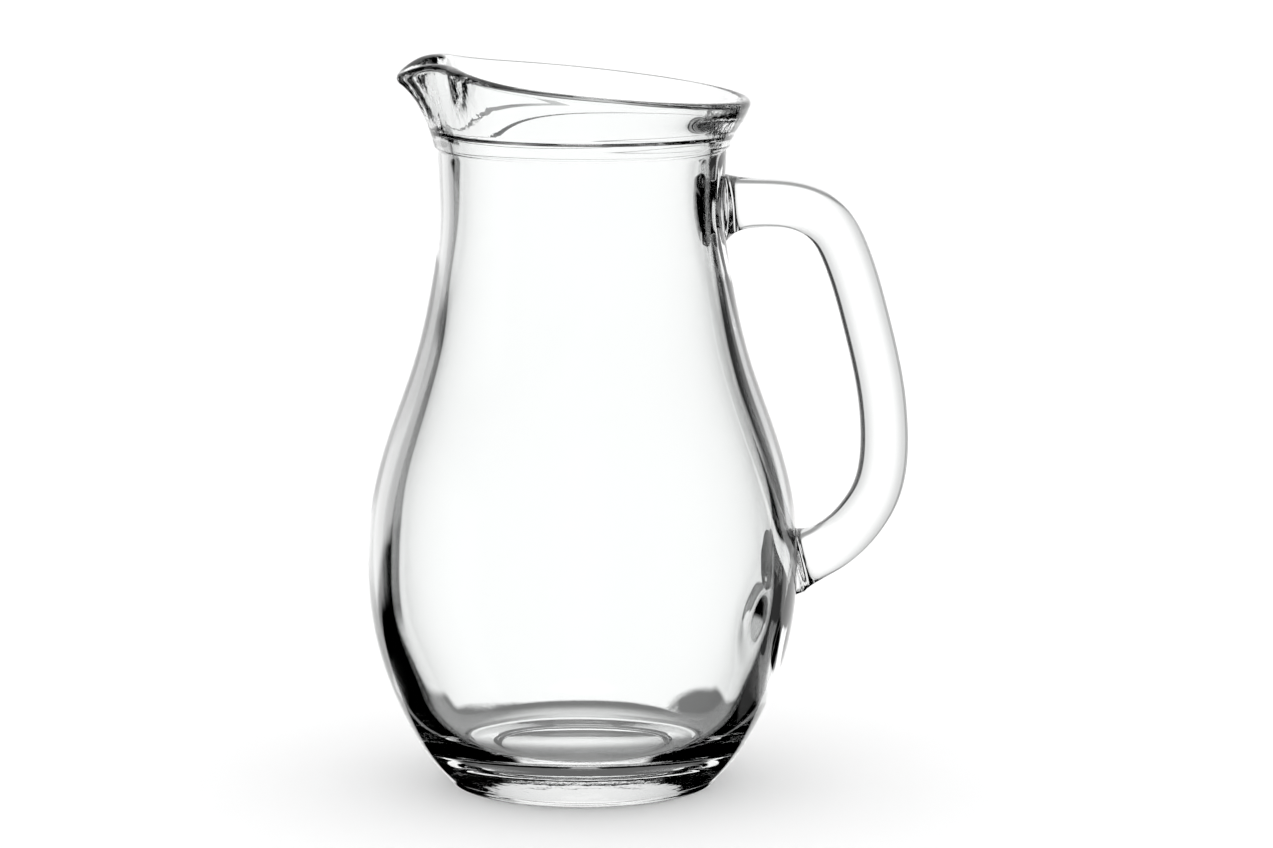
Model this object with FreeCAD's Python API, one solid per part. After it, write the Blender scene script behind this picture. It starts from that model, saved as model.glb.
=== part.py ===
"""Large clear glass water jug with a pouring spout and a solid side handle.

Two separately formed pieces of glass: a pressed, blown-out vessel and a solid
drawn rod that is fused onto its wall at both ends.

Frame: origin at the middle of the base, on the plane the jug stands on.
+Z up along the vessel's axis, +X towards the handle, spout towards -X.
Lengths are millimetres.
"""
import FreeCAD, Part
import math
import os

V = FreeCAD.Vector

# ---- driving dimensions: vessel -------------------------------------------
EDGE_R = 44.6            # outer edge of the flat ring the jug stands on
FOOT_IN_R = 33.0         # inner edge of that ring
PUSH_UP = 2.6            # how far the underside rises inside the ring
NECK_R = 48.3            # narrowest outer radius, above the handle's top joint
NECK_Z = 196.0
BELLY_R = 73.5           # widest outer radius
BELLY_Z = 74.0
FLOOR_Z = 12.5           # top of the thick glass floor, at the middle
STEP_Z = 219.1           # underside of the collar
STEP_R = 50.3            # outer radius where the collar starts
LEDGE_Z = 225.2          # small shelf inside the collar
LEDGE_R = 43.6           # bore radius just below that shelf
COLLAR_IN_R = 47.4       # collar's inner radius just above it

# body from just above the base to just below the collar:
# (outer radius, height, wall thickness measured level)
BODY = [(60.0, 20.5, 10.9), (67.4, 37.6, 8.9), (71.9, 55.0, 8.0),
        (BELLY_R, BELLY_Z, 7.6), (72.3, 95.6, 7.7), (66.4, 119.5, 7.6),
        (57.0, 146.8, 6.3), (50.9, 174.0, 4.9), (NECK_R, NECK_Z, 5.0),
        (48.7, 212.0, 5.6)]
BASE_CURVE = [(46.4, 1.8), (51.3, 6.9)]          # outside, below the body list
FLOOR_CURVE = [(36.0, 13.5), (44.0, 16.0)]       # inside, where floor meets wall
THROAT = (43.3, 219.0)                           # inside, just below the ledge

# ---- driving dimensions: rim and spout ------------------------------------
LIP = 3.6                # wall at the rim, fully rounded
RIM_R = 55.3             # middle of the rim's wall, away from the spout
RIM_Z = 239.5            # its height at the sides of the jug
RIM_TILT = 0.104         # the rim climbs this much per mm towards the spout
FLARE = 17.0             # wall's lean from vertical at the rim, degrees
SPOUT_REACH = 6.0        # the tip stands this far outside the rim's circle
SPOUT_HALF = 7.1         # half width of the spout, degrees about the axis
SPOUT_DIP = 4.9          # the tip hangs this far below the shoulders' line
SPOUT_LEAN = 38.0        # extra lean of the wall at the tip, degrees
SHOULDER_AT = 24.0       # shoulders stand at this angle either side of the tip
SHOULDER_HALF = 6.4
SHOULDER_IN = 2.4        # pinched in by this much
SHOULDER_UP = 2.9        # and raised by this much
SHOULDER_SPREAD = 16.6

# ---- driving dimensions: handle -------------------------------------------
ROD_IN_PLANE = 16.3      # rod thickness seen from the side of the jug
ROD_ACROSS = 17.6        # rod thickness seen from behind the handle
ROD_LOW = 0.8            # it is this much thicker at the lower joint
# centre line of the rod in the XZ plane, from the neck down to the belly
ROD_LINE = [(42.0, 198.9), (60.0, 198.9), (78.3, 195.8), (85.3, 190.4),
            (90.2, 181.8), (98.0, 157.0), (103.4, 132.0), (104.5, 119.0),
            (104.0, 106.8), (101.6, 97.6), (97.2, 90.0), (91.6, 83.7),
            (84.6, 78.6), (77.0, 75.2), (62.0, 70.6)]
TOP_START = 6.4          # the wall's distance from the line's upper end
LOW_START = 11.6         # and from its lower end
FOOT_FADE = 4.2          # the flare of a fused foot dies away over this length
FOOT_STEPS = [0, 1.2, 2.6, 4.2, 6.4, 9.4, 13.4, 18.4, 26.0, 35.0]   # sections along a foot
TOP_FOOT = (2.0, 6.2)    # flare of the top foot, upwards and downwards
LOW_FOOT = (7.6, 2.2)    # flare of the lower foot, upwards and downwards
FOOT_SIDE = 3.4          # flare of both feet sideways


def bell(angle, half):
    return math.exp(-0.5 * (angle / half) ** 2)


def spline(points):
    curve = Part.BSplineCurve()
    curve.interpolate(Points=[rz(*p) for p in points])
    return curve


def turned(edges):
    """Solid of revolution about Z from a chain of edges closed on the axis."""
    face = Part.Face(Part.Wire(edges))
    return face.revolve(V(0, 0, 0), V(0, 0, 1), 360)


def rz(r, z):
    return V(r, 0, z)


def line(r0, z0, r1, z1):
    return Part.LineSegment(rz(r0, z0), rz(r1, z1)).toShape()


def skin(rings, around):
    """Solid whose side is one smooth surface through closed rings of points and
    whose ends are the flat first and last ring."""
    rows = []
    for ring in rings:
        row = Part.BSplineCurve()
        row.interpolate(Points=ring, PeriodicFlag=True, Parameters=around)
        rows.append(row)
    count = rows[0].NbPoles
    travel = [0.0]
    for a, b in zip(rings, rings[1:]):
        travel.append(travel[-1] + sum(p.distanceToPoint(q) for p, q in zip(a, b)) / len(a))
    columns = []
    for j in range(count):
        column = Part.BSplineCurve()
        column.interpolate(Points=[row.getPole(j + 1) for row in rows], Parameters=travel)
        columns.append(column)
    poles = [column.getPoles() for column in columns]
    surface = Part.BSplineSurface()
    surface.buildFromPolesMultsKnots(
        poles, rows[0].getMultiplicities(), columns[0].getMultiplicities(),
        rows[0].getKnots(), columns[0].getKnots(), True, False, 3, 3)
    side_face = surface.toShape()
    ends = []
    for edge in side_face.Edges:
        if edge.isClosed() and not edge.isSeam(side_face):
            ends.append(Part.Face(Part.Wire(edge)))
    shell = Part.makeShell([side_face] + ends)
    shell.sewShape()
    return Part.makeSolid(shell)


def body_blank():
    """Outside of the body, filled, with the recessed underside."""
    top_z = STEP_Z + 2.0
    first, top = BASE_CURVE[0], (STEP_R - 1.3, top_z)
    points = BASE_CURVE + [(r, z) for r, z, wall in BODY] + [top]
    wall = spline(points).toShape()
    corner = Part.Arc(rz(EDGE_R, 0), rz(EDGE_R + 1.1, 0.55), rz(*first)).toShape()
    ease_r, ease_z = FOOT_IN_R - 2.4, 1.5
    ease = Part.Arc(rz(FOOT_IN_R, 0), rz(FOOT_IN_R - 1.45, 0.5), rz(ease_r, ease_z)).toShape()
    push = Part.Arc(rz(0, PUSH_UP), rz(16.0, PUSH_UP - 0.28), rz(ease_r, ease_z)).toShape()
    return turned([push, ease, line(FOOT_IN_R, 0, EDGE_R, 0), corner, wall,
                   line(top[0], top_z, 0, top_z), line(0, top_z, 0, PUSH_UP)])


def body_hollow():
    """Space inside the body, up to just above the ledge."""
    points = FLOOR_CURVE + [(r - wall, z) for r, z, wall in BODY]
    points += [THROAT, (LEDGE_R, LEDGE_Z)]
    wall = spline(points).toShape()
    floor = Part.Arc(rz(0, FLOOR_Z), rz(18.0, FLOOR_Z + 0.25), rz(*FLOOR_CURVE[0])).toShape()
    over = LEDGE_Z + 1.0
    return turned([floor, wall, line(LEDGE_R, LEDGE_Z, LEDGE_R, over),
                   line(LEDGE_R, over, 0, over), line(0, over, 0, FLOOR_Z)])


def rim(angle):
    """Middle of the rim's wall at an angle from the spout: radius, height, lean."""
    both = lambda half: bell(angle - SHOULDER_AT, half) + bell(angle + SHOULDER_AT, half)
    tip = bell(angle, SPOUT_HALF)
    r = RIM_R + SPOUT_REACH * tip - SHOULDER_IN * both(SHOULDER_HALF)
    z = RIM_Z + RIM_TILT * r * math.cos(math.radians(angle))
    z += SHOULDER_UP * both(SHOULDER_SPREAD) - SPOUT_DIP * tip
    lean = FLARE + SPOUT_LEAN * bell(angle, 1.3 * SPOUT_HALF) - 9.0 * both(2 * SHOULDER_HALF)
    return r, z, math.radians(lean)


def bezier(p0, p1, p2, p3, t):
    a, b, c, d = (1 - t) ** 3, 3 * t * (1 - t) ** 2, 3 * t * t * (1 - t), t ** 3
    return tuple(a * i + b * j + c * k + d * l for i, j, k, l in zip(p0, p1, p2, p3))


def side(foot, lean0, end, lean1, t):
    """Point on one face of the collar's wall, t from its foot to the lip."""
    size = math.dist(foot, end)
    p1 = (foot[0] + 0.30 * size * math.sin(lean0), foot[1] + 0.30 * size * math.cos(lean0))
    p2 = (end[0] - 0.34 * size * math.sin(lean1), end[1] - 0.34 * size * math.cos(lean1))
    return bezier(foot, p1, p2, end, t)


def collar_section(angle):
    """Wall section from the collar's outer foot, over the lip, to the ledge."""
    r, z, lean = rim(angle)
    half = LIP / 2
    nr, nz = math.cos(lean), -math.sin(lean)
    dr, dz = math.sin(lean), math.cos(lean)
    out_end = (r + half * nr, z + half * nz)
    in_end = (r - half * nr, z - half * nz)
    pts = [(STEP_R - 0.9, STEP_Z), (STEP_R - 0.25, STEP_Z + 0.3), (STEP_R, STEP_Z + 1.0)]
    start = math.radians(14.0)
    for t in (0.14, 0.30, 0.46, 0.62, 0.76, 0.88, 0.96):
        pts.append(side(pts[2], start, out_end, lean, t))
    for turn in range(0, 181, 30):
        c, s = math.cos(math.radians(turn)), math.sin(math.radians(turn))
        pts.append((r + half * (c * nr + s * dr), z + half * (c * nz + s * dz)))
    for t in (0.95, 0.86, 0.72, 0.56, 0.40, 0.22, 0.0):
        pts.append(side((COLLAR_IN_R, LEDGE_Z), start, in_end, lean, t))
    return pts


def collar_blank():
    """The collar as a shallow dish: its wall is lofted ring by ring, its floor
    is opened by the body's hollow."""
    angles = [float(a) for a in range(-180, -36, 12)] + [float(a) for a in range(-36, 36, 3)]
    angles += [float(a) for a in range(36, 180, 12)]
    sections = [collar_section(a) for a in angles]
    rings = []
    for k in range(len(sections[0])):
        ring = []
        for a, sec in zip(angles, sections):
            c, s = math.cos(math.radians(a)), math.sin(math.radians(a))
            ring.append(V(-sec[k][0] * c, -sec[k][0] * s, sec[k][1]))
        rings.append(ring)
    return skin(rings, angles + [180.0])


def rod():
    """Handle blank: oval rod with a flared foot at each end."""
    path = spline(ROD_LINE)
    total = path.length()
    first, last = path.FirstParameter, path.LastParameter
    marks = [0, 3] + [TOP_START + s for s in FOOT_STEPS]
    marks += [total * f for f in (0.27, 0.35, 0.43, 0.51, 0.59, 0.67)]
    marks += [total - LOW_START - s for s in reversed(FOOT_STEPS)]
    marks += [total - s for s in (7, 3, 0)]
    rings = []
    for s in marks:
        p = min(max(path.parameterAtDistance(s, first), first), last)
        at = path.value(p)
        along = V(path.tangent(p)[0])
        out = V(-along.z, 0, along.x)
        out.normalize()
        f = math.exp(-max(s - TOP_START, 0) / FOOT_FADE)
        hi, lo, across = f * TOP_FOOT[0], f * TOP_FOOT[1], f * FOOT_SIDE
        g = math.exp(-max(total - s - LOW_START, 0) / FOOT_FADE)
        hi, lo, across = hi + g * LOW_FOOT[1], lo + g * LOW_FOOT[0], across + g * FOOT_SIDE
        grow = ROD_LOW * min(max((s - 0.6 * total) / (0.3 * total), 0.0), 1.0)
        a = (ROD_IN_PLANE + grow + hi + lo) / 2
        b = (ROD_ACROSS + grow) / 2 + across
        centre = at + out * ((hi - lo) / 2)
        ring = []
        for turn in range(0, 360, 15):
            t = math.radians(turn)
            ring.append(centre + out * (a * math.cos(t)) + V(0, b * math.sin(t), 0))
        rings.append(ring)
    return skin(rings, [float(turn) for turn in range(0, 361, 15)])


def build():
    outside = body_blank().fuse(collar_blank())
    vessel = outside.cut(body_hollow()).removeSplitter()
    handle = rod().cut(outside)
    if len(handle.Solids) > 1:
        handle = max(handle.Solids, key=lambda s: s.Volume)
    return {"vessel": vessel, "handle": handle}


os.makedirs("parts", exist_ok=True)
for name, shape in build().items():
    solid = shape.Solids[0] if len(shape.Solids) == 1 else shape
    solid.exportStep("parts/" + name + ".step")
    print(name, len(shape.Solids), shape.isValid(), round(shape.Volume / 1000, 1), "cm3",
          shape.BoundBox)
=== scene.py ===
"""Clear glass water jug: a thick-based vessel with a pouring spout, and a solid
glass handle fused onto it. Own lengths are millimetres and become metres when a
mesh is made; the frame's origin is the middle of the base, +Z up, handle at +X.
"""
import math

import bmesh
import bpy
import numpy as np
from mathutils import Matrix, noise


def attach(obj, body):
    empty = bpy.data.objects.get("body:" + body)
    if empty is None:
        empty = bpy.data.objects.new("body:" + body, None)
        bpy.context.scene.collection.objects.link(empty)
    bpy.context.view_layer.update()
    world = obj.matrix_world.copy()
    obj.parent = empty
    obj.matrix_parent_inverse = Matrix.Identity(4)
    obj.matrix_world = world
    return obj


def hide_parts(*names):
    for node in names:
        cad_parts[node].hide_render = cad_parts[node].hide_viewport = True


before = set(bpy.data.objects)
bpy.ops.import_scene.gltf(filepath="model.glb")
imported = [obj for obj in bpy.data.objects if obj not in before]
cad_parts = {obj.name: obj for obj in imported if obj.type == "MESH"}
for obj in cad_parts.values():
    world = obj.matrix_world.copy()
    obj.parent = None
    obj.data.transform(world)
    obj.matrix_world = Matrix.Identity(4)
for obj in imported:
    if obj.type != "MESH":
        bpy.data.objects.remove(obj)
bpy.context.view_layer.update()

MM = 0.001

# ---- vessel ----------------------------------------------------------------
EDGE_R = 44.6            # outer edge of the ring the jug stands on
FOOT_IN_R = 33.0         # its inner edge
PUSH_UP = 2.6            # rise of the underside inside the ring
NECK_R = 48.3
NECK_Z = 196.0
BELLY_R = 73.5
BELLY_Z = 74.0
FLOOR_Z = 12.5           # top of the thick glass floor
STEP_Z = 219.1           # underside of the collar
STEP_R = 50.3
NECK_TOP_R = STEP_R - 1.3
LEDGE_Z = 225.2          # small shelf inside the collar
LEDGE_R = 43.6
LEDGE_DROP = 0.8         # the shelf slopes down towards the middle
COLLAR_IN_R = 47.4
# (outer radius, height, wall thickness measured level)
BODY = [(60.0, 20.5, 10.9), (67.4, 37.6, 8.9), (71.9, 55.0, 8.0),
        (BELLY_R, BELLY_Z, 7.6), (72.3, 95.6, 7.7), (66.4, 119.5, 7.6),
        (57.0, 146.8, 6.3), (50.9, 174.0, 4.9), (NECK_R, NECK_Z, 5.0),
        (48.7, 212.0, 5.6)]
BASE_CURVE = [(46.4, 1.8), (51.3, 6.9)]
FLOOR_CURVE = [(36.0, 13.5), (44.0, 16.0)]
THROAT = (43.3, 219.0)
WAVE = 0.10              # slow unevenness of the pressed inside
WAVE_WIDE = 21.0         # and its size, level and upright
WAVE_HIGH = 30.0
FLOOR_FADE = 30.0        # it fades out within this radius on the floor
COLLAR_FADE = 6.0        # and this far under the collar
# glass pressed inwards behind each of the handle's feet: height, depth, half height, half width
DENTS = [(201.0, 3.4, 16.0, 6.5), (53.0, 5.2, 8.5, 10.0)]

# ---- collar, rim and spout (angles in degrees, from the spout) ---------------
COLLAR_CORNER = 0.35     # rounding between the neck and the collar's underside
COLLAR_EDGE = 0.9        # rounding of the collar's lower edge
COLLAR_LEAN = 14.0       # the collar's lean where it leaves that edge
FOOT_PULL = 0.30         # share of its height over which it keeps that lean
LIP_PULL = 0.34          # and the rim's lean
LIP = 3.6                # thickness of the rim
RIM_R = 55.3             # middle of the rim's wall
RIM_Z = 239.5            # its height over the jug's axis
RIM_TILT = 0.104         # its slope, up towards the spout
FLARE = 17.0             # its lean outwards
SPOUT_REACH = 6.0
SPOUT_HALF = 7.1         # half width of the spout
SPOUT_DIP = 4.9
SPOUT_LEAN = 38.0
LEAN_HALF = 1.3 * SPOUT_HALF
SHOULDER_AT = 24.0       # the rim is pinched in at both sides of the spout
SHOULDER_HALF = 6.4
SHOULDER_IN = 2.4
SHOULDER_UP = 2.9
SHOULDER_SPREAD = 16.6
SHOULDER_UPRIGHT = 9.0   # it leans out this much less there
BEAD = 1.2               # the lip's extra thickness beside the spout
BEAD_AT = 22.0
BEAD_HALF = 12.0
BEAD_DROP = 1.35         # it is on the inner side, and hangs by this many times its size

# ---- handle ----------------------------------------------------------------
ROD_IN_PLANE = 16.3      # thickness of the rod in the plane of its bend
ROD_ACROSS = 17.6        # and across it
ROD_LOW = 0.8            # it gets this much thicker in its lower part
GROW_FROM = 0.6          # from here, as a share of its length,
GROW_OVER = 0.3          # and over this share
ROD_LINE = [(42.0, 198.9), (60.0, 198.9), (78.3, 195.8), (85.3, 190.4),
            (90.2, 181.8), (98.0, 157.0), (103.4, 132.0), (104.5, 119.0),
            (104.0, 106.8), (101.6, 97.6), (97.2, 90.0), (91.6, 83.7),
            (84.6, 78.6), (77.0, 75.2), (62.0, 70.6)]
TOP_START = 6.4          # wall's distance from the line's upper end
LOW_START = 11.6         # and from its lower end
TOP_SEARCH = 20.0        # the wall is crossed within this length of each end
LOW_SEARCH = 30.0
TOP_FOOT = (2.0, 6.2)    # swelling of each foot, above and below the rod
LOW_FOOT = (7.6, 2.2)
FOOT_FADE = 4.2          # it fades over about this length
FOOT_SIDE = 3.4          # swelling to the sides
SIDE_FADE = 2.4

# ---- surface ---------------------------------------------------------------
IOR = 1.52
CLEAREST = (0.985, 0.990, 0.988, 1)
GREENEST = (0.970, 0.980, 0.976, 1)
TINT_SIZE = 30.0
SMEAR_SIZE = 16.0
SMEAR = 0.015            # roughness of the faint smears
# ripples left by the mould: size, depth, stretch along z, and where they show: for an
# axis, the distances from the middle between which they come in
SPREAD = (24.0, 0.012, 0.5, [])
COLLAR_ENDS = (3.0, 0.12, 0.6, [("Z", 221.0, 226.0), ("X", 30.0, 42.0)])
BASE_STREAKS = (5.0, 0.014, 3.0, [("Z", 24.0, 14.0)])
VESSEL_RIPPLES = [SPREAD, COLLAR_ENDS, BASE_STREAKS]
HANDLE_RIPPLES = [(14.0, 0.012, 1.0, [])]

# ---- mesh density ----------------------------------------------------------
COLUMNS = 288            # around the vessel
FINE_ROW = 1.25          # rows of the outer wall near the handle's feet are this far apart
PLAIN_ROW = 2.2          # and elsewhere this far
INNER_FINE_ROW = 2.0     # the same on the inner wall
INNER_PLAIN_ROW = 3.4
PATCH_COLS = 15          # half size of a fused patch, in columns and in rows
PATCH_ROWS = 10
PATCH_REACH = 1.6        # the grid bends to the patch within this many patches
ROD_ROWS = 110           # along the even part of the rod
FOOT_ROWS = 34           # along each end, crowded towards the vessel
CROWDING = 1.3
TOP_END = 30.0           # length of the rod's upper and lower end
LOW_END = 34.0
FINE_STEPS = 4000        # a curve is measured in this many steps

# ---- room and camera ---------------------------------------------------------
TURN = 0.13              # the jug's handle points this far away from the camera, radians
TO_RIGHT = (math.cos(TURN), -math.sin(TURN), 0)       # the room's own directions
TO_BACK = (math.sin(TURN), math.cos(TURN), 0)
HALF_FLOOR = 30000.0
SHADE_SIDES = 64
FLOOR_DOWN = 0.3         # the floor lies this far under the ring, and the painted shade disc 0.1 above it
SHADE_DOWN = 0.2
SHADE_IN = 2.0           # the painted shade ends this far inside the ring's outer edge
SHADE_FROM = -10.0       # the painted shade gets lighter between these two places, towards the back
SHADE_TO = 12.0
SHADE_DARK = 0.15
SHADE_LIGHT = 1.05
BOUNCES = 32
CAMERA_RIGHT = 18.4      # the camera's place, from the middle of the base
CAMERA_BACK = -1806.0
CAMERA_UP = 429.5
CAMERA_DOWNWARD = 9.61   # it looks down by this angle, degrees
LENS = 151.72
SENSOR = 36.0


def bell(distance, half):
    return math.exp(-0.5 * (distance / half) ** 2)


def smooth(points):
    """C2 cubic through points; a function of 0..1 that returns rows of coordinates."""
    pts = np.array(points, float)
    t = np.r_[0, np.cumsum(np.linalg.norm(np.diff(pts, axis=0), axis=1))]

    def end_slope(i, j, k):
        ij, ik = (pts[j] - pts[i]) / (t[j] - t[i]), (pts[k] - pts[i]) / (t[k] - t[i])
        return ij + (ij - ik) * (t[j] - t[i]) / (t[k] - t[j])
    h = np.diff(t)
    n = len(pts)
    a = np.zeros((n, n))
    b = np.zeros((n, pts.shape[1]))
    a[0, 0] = a[-1, -1] = 1
    b[0], b[-1] = end_slope(0, 1, 2), end_slope(-1, -2, -3)
    for i in range(1, n - 1):
        a[i, i - 1], a[i, i], a[i, i + 1] = 1 / h[i - 1], 2 / h[i - 1] + 2 / h[i], 1 / h[i]
        b[i] = 3 * ((pts[i] - pts[i - 1]) / h[i - 1] ** 2 + (pts[i + 1] - pts[i]) / h[i] ** 2)
    slope = np.linalg.solve(a, b)

    def at(u):
        x = np.clip(np.atleast_1d(u), 0, 1) * t[-1]
        k = np.clip(np.searchsorted(t, x, side="right") - 1, 0, n - 2)
        w = ((x - t[k]) / h[k])[:, None]
        hk = h[k][:, None]
        return ((1 + 2 * w) * (1 - w) ** 2 * pts[k] + w * (1 - w) ** 2 * hk * slope[k]
                + w * w * (3 - 2 * w) * pts[k + 1] + w * w * (w - 1) * hk * slope[k + 1])
    return at


def spaced(curve, spacing):
    """Points along a curve, spaced by a function of height."""
    fine = curve(np.linspace(0, 1, FINE_STEPS + 1))
    step = np.linalg.norm(np.diff(fine, axis=0), axis=1)
    mid = 0.5 * (fine[1:, 1] + fine[:-1, 1])
    count = np.r_[0, np.cumsum(step / np.array([spacing(z) for z in mid]))]
    marks = np.linspace(0, count[-1], max(int(round(count[-1])), 2) + 1)
    return np.c_[np.interp(marks, count, fine[:, 0]), np.interp(marks, count, fine[:, 1])]


def arc(centre, radius, start, end, count):
    """Points on a round corner, angles in degrees from +r towards +z."""
    turn = np.radians(np.linspace(start, end, count))
    return np.c_[centre[0] + radius * np.cos(turn), centre[1] + radius * np.sin(turn)]


# ---- vessel profile, as rows of (radius, height) -----------------------------
def outer_spacing(z):
    return FINE_ROW if 48 < z < 100 or z > 172 else PLAIN_ROW


def inner_spacing(z):
    return INNER_FINE_ROW if z < 88 or z > 180 else INNER_PLAIN_ROW


def underside():
    ease_r, ease_z = FOOT_IN_R - 2.4, 1.5
    dome = smooth([(0, PUSH_UP), (16.0, PUSH_UP - 0.28), (ease_r, ease_z)])
    ease = smooth([(ease_r, ease_z), (FOOT_IN_R - 1.45, 0.5), (FOOT_IN_R, 0)])
    ring = smooth([(FOOT_IN_R, 0), (0.5 * (FOOT_IN_R + EDGE_R), 0), (EDGE_R, 0)])
    edge = smooth([(EDGE_R, 0), (EDGE_R + 1.1, 0.55), BASE_CURVE[0]])
    return np.vstack([dome(np.linspace(0.03, 1, 14)), ease(np.linspace(0, 1, 7)[1:]),
                      ring(np.linspace(0, 1, 6)[1:]), edge(np.linspace(0, 1, 7)[1:])])


def outer_wall():
    points = BASE_CURVE + [(r, z) for r, z, wall in BODY] + [(NECK_TOP_R, STEP_Z + 2.0)]
    rows = spaced(smooth(points), outer_spacing)
    rows = rows[rows[:, 1] < STEP_Z - 2 * COLLAR_CORNER]
    return rows[1:]


def inner_wall():
    points = FLOOR_CURVE + [(r - wall, z) for r, z, wall in BODY]
    points += [THROAT, (LEDGE_R, LEDGE_Z - 0.15)]
    return spaced(smooth(points), inner_spacing)[::-1]


def floor():
    curve = smooth([(0, FLOOR_Z), (18.0, FLOOR_Z + 0.25), FLOOR_CURVE[0]])
    return curve(np.linspace(1, 0.03, 14))[1:]


def rim(angle):
    """Middle of the rim's wall at an angle from the spout: radius, height, lean."""
    def shoulders(half):
        return bell(angle - SHOULDER_AT, half) + bell(angle + SHOULDER_AT, half)
    tip = bell(angle, SPOUT_HALF)
    r = RIM_R + SPOUT_REACH * tip - SHOULDER_IN * shoulders(SHOULDER_HALF)
    z = RIM_Z + RIM_TILT * r * math.cos(math.radians(angle))
    z += SHOULDER_UP * shoulders(SHOULDER_SPREAD) - SPOUT_DIP * tip
    lean = FLARE + SPOUT_LEAN * bell(angle, LEAN_HALF)
    lean -= SHOULDER_UPRIGHT * shoulders(2 * SHOULDER_HALF)
    return r, z, math.radians(lean)


def side(foot, end, lean, t):
    """Points on one face of the collar's wall, from its foot to the lip."""
    foot, end = np.array(foot), np.array(end)
    size = np.linalg.norm(end - foot)
    start = math.radians(COLLAR_LEAN)
    p1 = foot + FOOT_PULL * size * np.array([math.sin(start), math.cos(start)])
    p2 = end - LIP_PULL * size * np.array([math.sin(lean), math.cos(lean)])
    t = np.array(t)[:, None]
    return ((1 - t) ** 3 * foot + 3 * t * (1 - t) ** 2 * p1
            + 3 * t * t * (1 - t) * p2 + t ** 3 * end)


def collar_section(angle):
    """The collar's wall from its underside, over the lip, to the ledge inside."""
    r, z, lean = rim(angle)
    extra = BEAD * (bell(angle - BEAD_AT, BEAD_HALF) + bell(angle + BEAD_AT, BEAD_HALF))
    half = LIP / 2 + extra
    normal = np.array([math.cos(lean), -math.sin(lean)])
    rise = np.array([math.sin(lean), math.cos(lean)])
    middle = np.array([r, z]) - extra * (normal + BEAD_DROP * rise)
    shelf_z = LEDGE_Z + LEDGE_DROP
    under = np.vstack([arc((NECK_TOP_R + COLLAR_CORNER, STEP_Z - COLLAR_CORNER), COLLAR_CORNER,
                           180, 90, 4),
                       arc((STEP_R - COLLAR_EDGE, STEP_Z + COLLAR_EDGE), COLLAR_EDGE, -90, 0, 7)])
    outside = side((STEP_R, STEP_Z + COLLAR_EDGE), middle + half * normal, lean,
                   np.linspace(0, 1, 21)[1:])
    turns = np.radians(np.linspace(0, 180, 15)[1:-1])[:, None]
    lip = middle + half * (np.cos(turns) * normal + np.sin(turns) * rise)
    inside = side((COLLAR_IN_R, shelf_z + 0.15), middle - half * normal, lean,
                  np.linspace(1, 0, 17))
    shelf = np.array([(COLLAR_IN_R - 0.05, shelf_z + 0.05), (COLLAR_IN_R - 0.3, shelf_z - 0.08),
                      (LEDGE_R + 0.3, LEDGE_Z + 0.08), (LEDGE_R + 0.05, LEDGE_Z - 0.05),
                      (LEDGE_R, LEDGE_Z - 0.15)])
    return np.vstack([under, outside, lip, inside, shelf])


def unevenness(angle, r, z):
    """How far the inner wall stands in from its even profile. The angle is from the
    handle."""
    fade = min(r / FLOOR_FADE, 1.0) * min(max((STEP_Z - z) / COLLAR_FADE, 0.0), 1.0)
    depth = WAVE * noise.noise((r * math.cos(angle) / WAVE_WIDE, r * math.sin(angle) / WAVE_WIDE,
                                z / WAVE_HIGH))
    across = r * math.sin(angle / 2) * 2
    for dent_z, deep, half_z, half_wide in DENTS:
        depth += deep * bell(z - dent_z, half_z) * bell(across, half_wide)
    return depth * fade


OUTER_ROWS = np.vstack([underside()[-1:], outer_wall(),
                        [(NECK_TOP_R, STEP_Z), (NECK_TOP_R, STEP_Z + 4)]])


def wall_radius(z):
    return float(np.interp(z, OUTER_ROWS[:, 1], OUTER_ROWS[:, 0]))


# ---- handle's rod, and where it meets the vessel -----------------------------
ROD_POINTS = smooth(ROD_LINE)(np.linspace(0, 1, FINE_STEPS + 1))
ROD_RUN = np.r_[0, np.cumsum(np.linalg.norm(np.diff(ROD_POINTS, axis=0), axis=1))]
ROD_LENGTH = ROD_RUN[-1]


def rod_middle(s):
    """Point (x, z) of the rod's middle line, s along it."""
    return np.interp(s, ROD_RUN, ROD_POINTS[:, 0]), np.interp(s, ROD_RUN, ROD_POINTS[:, 1])


def near_ends(s, length):
    """How much of the upper and of the lower foot's swelling there is at s."""
    return (math.exp(-max(s - TOP_START, 0) / length),
            math.exp(-max(ROD_LENGTH - s - LOW_START, 0) / length))


def rod_point(s, turn):
    """Point on the rod's surface: s along the line, turn from its outer side."""
    nearby = 0.5
    x, z = rod_middle(s)
    x1, z1 = rod_middle(s + nearby)
    x0, z0 = rod_middle(s - nearby)
    size = math.hypot(x1 - x0, z1 - z0)
    out = ((z0 - z1) / size, (x1 - x0) / size)
    top, low = near_ends(s, FOOT_FADE)
    outer = top * TOP_FOOT[0] + low * LOW_FOOT[1]
    inner = top * TOP_FOOT[1] + low * LOW_FOOT[0]
    grow = ROD_LOW * min(max((s - GROW_FROM * ROD_LENGTH) / (GROW_OVER * ROD_LENGTH), 0.0), 1.0)
    half_in_plane = (ROD_IN_PLANE + grow + outer + inner) / 2
    half_across = (ROD_ACROSS + grow) / 2 + sum(near_ends(s, SIDE_FADE)) * FOOT_SIDE
    reach = (outer - inner) / 2 + half_in_plane * math.cos(turn)
    return np.array([x + out[0] * reach, half_across * math.sin(turn), z + out[1] * reach])


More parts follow.
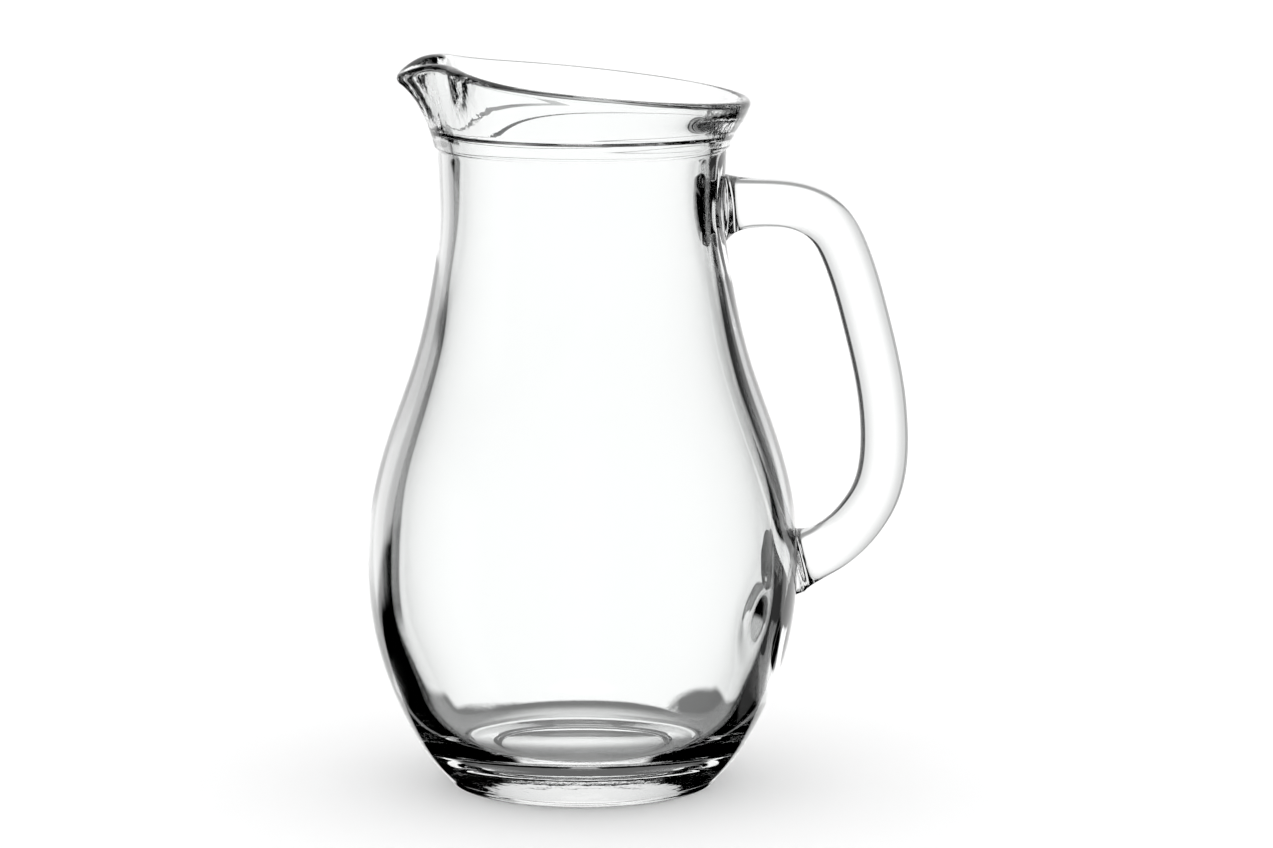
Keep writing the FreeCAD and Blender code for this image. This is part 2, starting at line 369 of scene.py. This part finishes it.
class Joint:
    """Outline where one end of the rod meets the vessel's outer surface. It is looked
    for between low and high along the rod; flip is for the rod's lower end."""
    STEPS = 240          # round the outline
    HALVINGS = 40        # of the stretch from low to high

    def __init__(self, low, high, flip):
        self.flip = flip
        self.turns = np.linspace(0, 2 * math.pi, self.STEPS + 1)
        table = []
        for turn in self.turns:
            near, far = low, high
            for _ in range(self.HALVINGS):
                mid = 0.5 * (near + far)
                x, y, z = rod_point(mid, self.rod_turn(turn))
                if (math.hypot(x, y) > wall_radius(z)) == flip:
                    near = mid
                else:
                    far = mid
            x, y, z = rod_point(mid, self.rod_turn(turn))
            table.append((math.atan2(y, x), z, mid))
        self.table = np.array(table)
        self.middle = (0.0, 0.5 * (self.table[:, 1].min() + self.table[:, 1].max()))

    def rod_turn(self, turn):
        """turn is clockwise from straight up, seen from outside the handle."""
        return math.pi - turn if self.flip else turn

    def outline(self, turn):
        """Azimuth, height and distance along the rod at a turn."""
        turn = turn % (2 * math.pi)
        return np.array([np.interp(turn, self.turns, self.table[:, c]) for c in range(3)])


def on_wall(azimuth, z):
    r = wall_radius(z)
    return np.array([r * math.cos(azimuth), r * math.sin(azimuth), z])


def square_turn(p, q):
    """Direction of a point of the square |p|, |q| <= 1, even along its patch."""
    size = max(abs(p), abs(q))
    corner = math.radians(90.0 * PATCH_COLS * 2 / (PATCH_COLS + PATCH_ROWS) / 2)
    p, q = p / size, q / size
    if abs(q) >= abs(p) - 1e-9:
        return corner * p if q > 0 else math.pi - corner * p
    if p > 0:
        return math.pi / 2 - (math.pi / 2 - corner) * q
    return -math.pi / 2 + (math.pi / 2 - corner) * q


def patch_position(joint, p, q, limit=None):
    """Azimuth and height of a grid point: the patch's edge is at 1/PATCH_REACH, and the
    grid is as limit says at 1."""
    size = max(abs(p), abs(q))
    if size < 1e-9:
        return joint.middle
    edge = joint.outline(square_turn(p, q))[:2]
    inner = 1.0 / PATCH_REACH
    middle = np.array(joint.middle)
    if size <= inner + 1e-9:
        return middle + (edge - middle) * size / inner
    return edge + (size - inner) / (1 - inner) * (limit(p / size, q / size) - edge)


# ---- meshes ----------------------------------------------------------------
def mesh_object(name, verts, faces, patches, materials):
    """patches says of each face whether it is part of a fused patch."""
    mesh = bpy.data.meshes.new(name)
    mesh.from_pydata([tuple(v) for v in np.array(verts) * MM], [], faces)
    for face, patch in zip(mesh.polygons, patches):
        face.use_smooth = True
        face.material_index = 1 if patch else 0
    for material in materials:
        mesh.materials.append(material)
    shell = bmesh.new()
    shell.from_mesh(mesh)
    bmesh.ops.recalc_face_normals(shell, faces=shell.faces)
    shell.to_mesh(mesh)
    shell.free()
    mesh.validate()
    mesh.update()
    obj = bpy.data.objects.new(name, mesh)
    bpy.context.scene.collection.objects.link(obj)
    return obj


def tube_faces(rows, columns):
    """Faces between rows of points that each go once round."""
    faces = []
    for i in range(rows - 1):
        for j in range(columns):
            k = (j + 1) % columns
            faces.append((i * columns + j, i * columns + k, (i + 1) * columns + k,
                          (i + 1) * columns + j))
    return faces


def vessel_grid(angles):
    """Rows of (radius, height): out under the base, up the outside, over the lip, down
    the inside and in over the floor."""
    sections = [collar_section(math.degrees(math.pi - abs(a))) for a in angles]
    rings = [np.tile(row, (COLUMNS, 1)) for row in np.vstack([underside(), outer_wall()])]
    rings += [np.array(ring) for ring in zip(*sections)]
    first_inside = len(rings)
    rings += [np.tile(row, (COLUMNS, 1)) for row in np.vstack([inner_wall()[1:], floor()])]
    grid = np.array(rings)
    for i in range(first_inside, len(grid)):
        for j, angle in enumerate(angles):
            grid[i, j, 0] -= unevenness(angle, *grid[i, j])
    return grid


def bend_to_joint(grid, azimuth, joint):
    """Moves the vessel's grid to the joint's outline. Returns the cells inside it."""
    half_cols, half_rows = int(PATCH_COLS * PATCH_REACH), int(PATCH_ROWS * PATCH_REACH)
    first_col = COLUMNS // 2
    first_row = len(underside()) + int(np.argmin(abs(outer_wall()[:, 1] - joint.middle[1])))
    row_z = grid[:, 0, 1].copy()

    def limit(p, q):
        z = np.interp(first_row + q * half_rows, np.arange(len(grid)), row_z)
        return np.array([p * half_cols * 2 * math.pi / COLUMNS, z])
    cells = set()
    for di in range(-half_rows, half_rows + 1):
        for dj in range(-half_cols, half_cols + 1):
            spot = patch_position(joint, dj / half_cols, di / half_rows, limit)
            i, j = first_row + di, first_col + dj
            azimuth[i, j] = spot[0]
            grid[i, j] = (wall_radius(spot[1]), spot[1])
            if -PATCH_ROWS <= di < PATCH_ROWS and -PATCH_COLS <= dj < PATCH_COLS:
                cells.add((i, j))
    return cells


def build_vessel(joints, materials):
    angles = -math.pi + 2 * math.pi * np.arange(COLUMNS) / COLUMNS     # 0 is the handle
    grid = vessel_grid(angles)
    rows = len(grid)
    azimuth = np.tile(angles, (rows, 1))
    fused_cells = set()
    for joint in joints:
        fused_cells |= bend_to_joint(grid, azimuth, joint)
    verts = np.stack([grid[..., 0] * np.cos(azimuth), grid[..., 0] * np.sin(azimuth),
                      grid[..., 1]], axis=-1).reshape(-1, 3)
    verts = np.vstack([verts, [(0, 0, PUSH_UP), (0, 0, FLOOR_Z)]])
    faces = tube_faces(rows, COLUMNS)
    patches = [(i, j) in fused_cells for i in range(rows - 1) for j in range(COLUMNS)]
    bottom, top = len(verts) - 2, len(verts) - 1
    last = (rows - 1) * COLUMNS
    for j in range(COLUMNS):
        k = (j + 1) % COLUMNS
        faces.append((k, j, bottom))
        faces.append((last + j, last + k, top))
        patches += [False, False]
    return mesh_object("vessel_glass", verts, faces, patches, materials)


def patch_perimeter():
    """Grid points round a patch, clockwise from straight up."""
    c, r = PATCH_COLS, PATCH_ROWS
    walk = [(dj, r) for dj in range(0, c)] + [(c, di) for di in range(r, -r, -1)]
    walk += [(dj, -r) for dj in range(c, -c, -1)] + [(-c, di) for di in range(-r, r)]
    return walk + [(dj, r) for dj in range(-c, 0)]


def rod_rows(start, end):
    """Distances along the rod of one line of points, from wall to wall."""
    even_from, even_to = TOP_END, ROD_LENGTH - LOW_END
    top = start + (even_from - start) * np.linspace(0, 1, FOOT_ROWS)[:-1] ** CROWDING
    low = end - (end - even_to) * np.linspace(1, 0, FOOT_ROWS)[1:] ** CROWDING
    return np.r_[top, np.linspace(even_from, even_to, ROD_ROWS), low]


def build_handle(joints, materials):
    top, low = joints
    walk = patch_perimeter()
    count = len(walk)
    lines = []
    for dj, di in walk:
        turn = square_turn(dj / PATCH_COLS, di / PATCH_ROWS)
        start, end = top.outline(turn), low.outline(math.pi - turn)
        line = [rod_point(s, turn) for s in rod_rows(start[2], end[2])]
        line[0], line[-1] = on_wall(*start[:2]), on_wall(*end[:2])
        lines.append(line)
    grid = np.array(lines).transpose(1, 0, 2)
    verts = [tuple(v) for v in grid.reshape(-1, 3)]
    faces = tube_faces(len(grid), count)
    patches = [False] * len(faces)
    ends = ((top, 0), (low, len(grid) - 1))
    for joint, row in ends:
        index = {}
        for k, (dj, di) in enumerate(walk):
            index[(dj, -di if joint.flip else di)] = row * count + k
        for di in range(1 - PATCH_ROWS, PATCH_ROWS):
            for dj in range(1 - PATCH_COLS, PATCH_COLS):
                spot = patch_position(joint, dj / PATCH_COLS / PATCH_REACH,
                                      di / PATCH_ROWS / PATCH_REACH)
                index[(dj, di)] = len(verts)
                verts.append(tuple(on_wall(*spot)))
        for di in range(-PATCH_ROWS, PATCH_ROWS):
            for dj in range(-PATCH_COLS, PATCH_COLS):
                faces.append((index[dj, di], index[dj, di + 1], index[dj + 1, di + 1],
                              index[dj + 1, di]))
                patches.append(True)
    obj = mesh_object("handle_glass", verts, faces, patches, materials)
    outlines = {tuple(sorted((row * count + k, row * count + (k + 1) % count)))
                for joint, row in ends for k in range(count)}
    for edge in obj.data.edges:
        if tuple(sorted(edge.vertices)) in outlines:
            edge.use_edge_sharp = True
    return obj


# ---- materials -------------------------------------------------------------
class Nodes:
    """Adds nodes to one tree. A value is a number, a colour or another node's output."""

    def __init__(self, tree):
        self.tree = tree

    def new(self, kind):
        return self.tree.nodes.new("ShaderNode" + kind)

    def sockets(self, name):
        return self.tree.nodes[name].inputs

    def feed(self, socket, value):
        if isinstance(value, bpy.types.NodeSocket):
            self.tree.links.new(value, socket)
        else:
            socket.default_value = value

    def math(self, operation, *values):
        node = self.new("Math")
        node.operation = operation
        for socket, value in zip(node.inputs, values):
            self.feed(socket, value)
        return node.outputs[0]

    def ramp(self, value, low, high, start=0.0, end=1.0):
        """Soft step from start, where the value is low, to end, where it is high."""
        node = self.new("MapRange")
        node.interpolation_type = "SMOOTHSTEP"
        for name, number in (("From Min", low), ("From Max", high), ("To Min", start), ("To Max", end)):
            node.inputs[name].default_value = number
        self.feed(node.inputs["Value"], value)
        return node.outputs["Result"]

    def cloud(self, place, size, stretch, detail):
        """Soft noise with shapes of a size in mm, stretched along z."""
        stretched = self.new("Mapping")
        stretched.inputs["Scale"].default_value = (1.0, 1.0, stretch)
        self.feed(stretched.inputs["Vector"], place)
        node = self.new("TexNoise")
        node.inputs["Scale"].default_value = 1.0 / (size * MM)
        node.inputs["Detail"].default_value = detail
        self.feed(node.inputs["Vector"], stretched.outputs["Vector"])
        return node.outputs["Fac"]


def new_material(name):
    material = bpy.data.materials.new(name)
    material.use_nodes = True
    return material, Nodes(material.node_tree)


def glass(name, ripples):
    """Clear pressed glass, with an uneven tint, faint smears and ripples."""
    material, nodes = new_material(name)
    shader = nodes.sockets("Principled BSDF")
    shader["IOR"].default_value = IOR
    shader["Transmission Weight"].default_value = 1.0
    place = nodes.new("TexCoord").outputs["Object"]
    split = nodes.new("SeparateXYZ")
    nodes.feed(split.inputs["Vector"], place)

    tint = nodes.new("Mix")
    tint.data_type = "RGBA"
    tint.inputs["A"].default_value = CLEAREST
    tint.inputs["B"].default_value = GREENEST
    nodes.feed(tint.inputs["Factor"], nodes.cloud(place, TINT_SIZE, 0.6, 2.0))
    nodes.feed(shader["Base Color"], tint.outputs["Result"])
    smears = nodes.cloud(place, SMEAR_SIZE, 0.4, 3.0)
    nodes.feed(shader["Roughness"], nodes.ramp(smears, 0.5, 0.8, 0.0, SMEAR))

    height = 0.0
    for size, depth, stretch, places in ripples:
        wave = nodes.math("MULTIPLY", nodes.cloud(place, size, stretch, 2.0), depth * MM)
        for axis, low, high in places:
            from_middle = nodes.math("ABSOLUTE", split.outputs[axis])
            wave = nodes.math("MULTIPLY", wave, nodes.ramp(from_middle, low * MM, high * MM))
        height = nodes.math("ADD", wave, height)
    bump = nodes.new("Bump")
    bump.inputs["Distance"].default_value = 1.0
    nodes.feed(bump.inputs["Height"], height)
    nodes.feed(shader["Normal"], bump.outputs["Normal"])
    return material


def fused(name):
    """The two faces of a fused joint: glass meets glass, so nothing shows."""
    material, nodes = new_material(name)
    nodes.tree.nodes.remove(nodes.tree.nodes["Principled BSDF"])
    clear = nodes.new("BsdfTransparent")
    nodes.feed(nodes.sockets("Material Output")["Surface"], clear.outputs["BSDF"])
    return material


def matt_paint(name):
    material, nodes = new_material(name)
    shader = nodes.sockets("Principled BSDF")
    shader["Base Color"].default_value = (0.9, 0.9, 0.9, 1)
    shader["Roughness"].default_value = 1.0
    return material


def painted_shade_floor(name):
    """Painted shade for the floor under the base, as if lit from the back: it glows with the light that
    such a floor would return, dark at the front and lighter towards the back.
    """
    material, nodes = new_material(name)
    shader = nodes.sockets("Principled BSDF")
    shader["Base Color"].default_value = (0, 0, 0, 1)
    shader["Specular IOR Level"].default_value = 0.0
    shader["Emission Color"].default_value = (1, 1, 1, 1)
    split = nodes.new("SeparateXYZ")
    nodes.feed(split.inputs["Vector"], nodes.new("TexCoord").outputs["Object"])
    # painted shade: the glow rises from dark at the front to light at the back
    fade = nodes.ramp(split.outputs["Y"], SHADE_FROM * MM, SHADE_TO * MM, SHADE_DARK, SHADE_LIGHT)
    nodes.feed(shader["Emission Strength"], fade)
    return material


# ---- pieces ----------------------------------------------------------------
JOINTS = (Joint(0.0, TOP_SEARCH, False), Joint(ROD_LENGTH - LOW_SEARCH, ROD_LENGTH, True))
fused_face = fused("fused_face")
vessel = build_vessel(JOINTS, [glass("vessel_clear", VESSEL_RIPPLES), fused_face])
handle = build_handle(JOINTS, [glass("handle_clear", HANDLE_RIPPLES), fused_face])
for piece, node in ((vessel, "vessel"), (handle, "handle")):
    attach(piece, "root")
    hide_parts(node)

# ---- room ------------------------------------------------------------------
scene = bpy.context.scene
scene.view_settings.view_transform = "Standard"
scene.cycles.max_bounces = BOUNCES
scene.cycles.transmission_bounces = BOUNCES
scene.cycles.glossy_bounces = BOUNCES
scene.cycles.transparent_max_bounces = BOUNCES


def stage_flat(name, shape, drop, material):
    """Lays a flat bmesh shape down as part of the room."""
    mesh = bpy.data.meshes.new(name)
    shape.to_mesh(mesh)
    shape.free()
    mesh.materials.append(material)
    obj = bpy.data.objects.new(name, mesh)
    scene.collection.objects.link(obj)
    obj.location.z = -drop * MM
    return obj


square = bmesh.new()
bmesh.ops.create_grid(square, x_segments=1, y_segments=1, size=HALF_FLOOR * MM)
ground = stage_flat("floor", square, FLOOR_DOWN, matt_paint("floor_paint"))
ground.visible_transmission = False      # the glass shows the studio's light, below
ground.visible_glossy = False
# painted shade: a glowing disc stands for the floor right under the base, where the jug keeps light off
# it, seen only through glass
disc = bmesh.new()
bmesh.ops.create_circle(disc, cap_ends=True, segments=SHADE_SIDES, radius=(EDGE_R - SHADE_IN) * MM)
under_base = stage_flat("floor_under_base", disc, SHADE_DOWN, painted_shade_floor("painted_floor_shade"))
under_base.visible_camera = False
under_base.visible_diffuse = False
under_base.visible_shadow = False

# ---- studio light ----------------------------------------------------------
world = bpy.data.worlds.new("studio")
scene.world = world
world.use_nodes = True
sky = Nodes(world.node_tree)


def window(value, low, high, soft):
    """1 between low and high, with soft edges."""
    rising = sky.ramp(value, low - soft, low + soft)
    falling = sky.ramp(value, high - soft, high + soft)
    return sky.math("SUBTRACT", rising, sky.math("MULTIPLY", rising, falling))


def both(*masks):
    result = masks[0]
    for mask in masks[1:]:
        result = sky.math("MULTIPLY", result, mask)
    return result


def other(mask):
    return sky.math("SUBTRACT", 1.0, mask)


def over(light, mask, level):
    """Lay an even panel over what is behind it."""
    kept = sky.math("MULTIPLY", light, other(mask))
    return sky.math("ADD", kept, sky.math("MULTIPLY", mask, level))


def along(axis):
    node = sky.new("VectorMath")
    node.operation = "DOT_PRODUCT"
    sky.feed(node.inputs[0], direction)
    node.inputs[1].default_value = axis
    return node.outputs["Value"]


def cards(light, rays, rows):
    """Lay panels and dark cards over the light, for some of the rays. A row has a card's
    azimuths and heights, each as (low, high, soft) in degrees or None, and its level."""
    for azimuths, heights, level in rows:
        mask = rays
        if azimuths:
            mask = both(mask, window(azimuth, *azimuths))
        if heights:
            mask = both(mask, window(height_angle, *heights))
        light = over(light, mask, level)
    return light


# directions in degrees: azimuth 0 is straight behind the jug, + to its handle's side
direction = sky.new("TexCoord").outputs["Generated"]
azimuth = sky.math("DEGREES", sky.math("ARCTAN2", along(TO_RIGHT), along(TO_BACK)))
height_angle = sky.math("DEGREES", sky.math("ARCSINE", along((0, 0, 1))))
aside = sky.math("ABSOLUTE", azimuth)

# rays, by how often they have crossed a surface of the glass or been reflected in it
path = sky.new("LightPath").outputs
through = path["Transmission Depth"]
bounced = path["Glossy Depth"]
unbounced = sky.math("LESS_THAN", bounced, 0.5)
rod = both(unbounced, window(through, 1.5, 2.5, 0.1))                    # one body of glass
clear = both(unbounced, window(through, 3.5, 4.5, 0.1))                  # both walls
deep_clear = both(unbounced, sky.math("GREATER_THAN", through, 4.5))     # more than those
skin = both(window(bounced, 0.5, 1.5, 0.1), window(through, 1.5, 2.5, 0.1))   # reflected once
deep = sky.math("GREATER_THAN", sky.math("ADD", through, bounced), 4.5)       # the long way
straight = both(sky.math("LESS_THAN", through, 0.5), unbounced)          # no glass at all
from_floor = sky.math("MAXIMUM", straight, sky.math("GREATER_THAN", path["Diffuse Depth"], 0.5))

# table, seen low through the glass
light = cards(0.0, clear, [(None, (-75, -30, 8), 0.33), ((-22, 18, 4), (-44, -15, 4), 0.25),
                           ((-8, 8, 4), (-70, -38, 5), 0.72), (None, (-100, -56, 4), 0.85),
                           (None, (-100, -76, 3), 1.0)])
# the far sides of the room
for rays, level in ((clear, 1.1), (skin, 0.6), (deep_clear, 0.8)):
    light = cards(light, rays, [((-117, -47, 4), (-48, 11, 4), level),
                                ((105, 150, 4), (-48, 11, 4), level)])
# back panel, dimmer to its sides and with a gap high in each; the table's edge hides its
# foot, higher to the sides, and rays that come the long way see only its middle
fall = sky.ramp(aside, 6, 40, 1.23, 0.83)
low_end = height_angle
for sideways, start, end, rise in ((aside, -1.5, 6, 5.8), (aside, 8, 14, 3.0),
                                   (azimuth, -1, 4.5, 3.6), (azimuth, 9, 14, -5.0),
                                   (aside, 24, 42, 9.0)):
    low_end = sky.math("SUBTRACT", low_end, sky.math("MULTIPLY", sky.ramp(sideways, start, end), rise))
panel = both(window(azimuth, -45, 43, 2.5), window(height_angle, -40, 50, 2.0),
             sky.ramp(low_end, -32.7, -30.7))
gaps = both(other(rod), window(height_angle, 14, 31, 2.5),
            sky.ramp(sky.math("ABSOLUTE", sky.math("ADD", azimuth, 4)), 28, 34))
margin = both(deep, other(both(window(azimuth, -28, 26, 3), window(height_angle, -14, 40, 3))))
light = over(light, both(panel, other(gaps), other(margin)), fall)
# dark card in front of the panel's left part, seen only through both walls
light = cards(light, clear, [((-44, -22.3, 1.2), (-17, 5, 2), 0.05)])
# dark cards standing low at the sides, reflected inside one wall
slope = sky.math("SUBTRACT", height_angle, sky.math("MULTIPLY", aside, 0.30))
light = over(light, both(skin, other(sky.ramp(slope, -21, -18)), sky.ramp(azimuth, -60, -52)), 0.0)
light = cards(light, skin, [((26, 45, 2), (-30, -1, 1), 0.05), ((-16, 15, 3), (-100, -1.5, 1), 0.5)])
# what the slim handle and the rim's single wall show
light = over(light, rod, fall)
light = cards(light, rod, [((-76, -47, 3), None, 0.5), (None, (-100, -45, 5), 0.3),
                           (None, (43, 100, 5), 0.3), (None, (-100, -60, 3), 0.85),
                           ((42, 85, 2), (-60, 40, 3), 0.08)])
light = sky.math("MULTIPLY", light, other(sky.math("MULTIPLY", skin, 0.22)))
# overhead panel, and the even white room that the floor and the camera see
light = over(light, both(sky.ramp(height_angle, 46, 52), other(deep)), 1.1)
light = over(light, from_floor, 1.24)
light = over(light, path["Is Camera Ray"], 1.0)
background = sky.sockets("Background")
background["Color"].default_value = (1, 1, 1, 1)
sky.feed(background["Strength"], light)

# ---- camera ----------------------------------------------------------------
camera = bpy.data.objects.new("camera", bpy.data.cameras.new("camera"))
scene.collection.objects.link(camera)
camera.data.sensor_width = SENSOR
camera.data.lens = LENS
camera.location = [(CAMERA_RIGHT * right + CAMERA_BACK * back) * MM
                   for right, back in zip(TO_RIGHT, TO_BACK)]
camera.location.z = CAMERA_UP * MM
camera.rotation_euler = (math.radians(90 - CAMERA_DOWNWARD), 0, -TURN)
scene.camera = camera
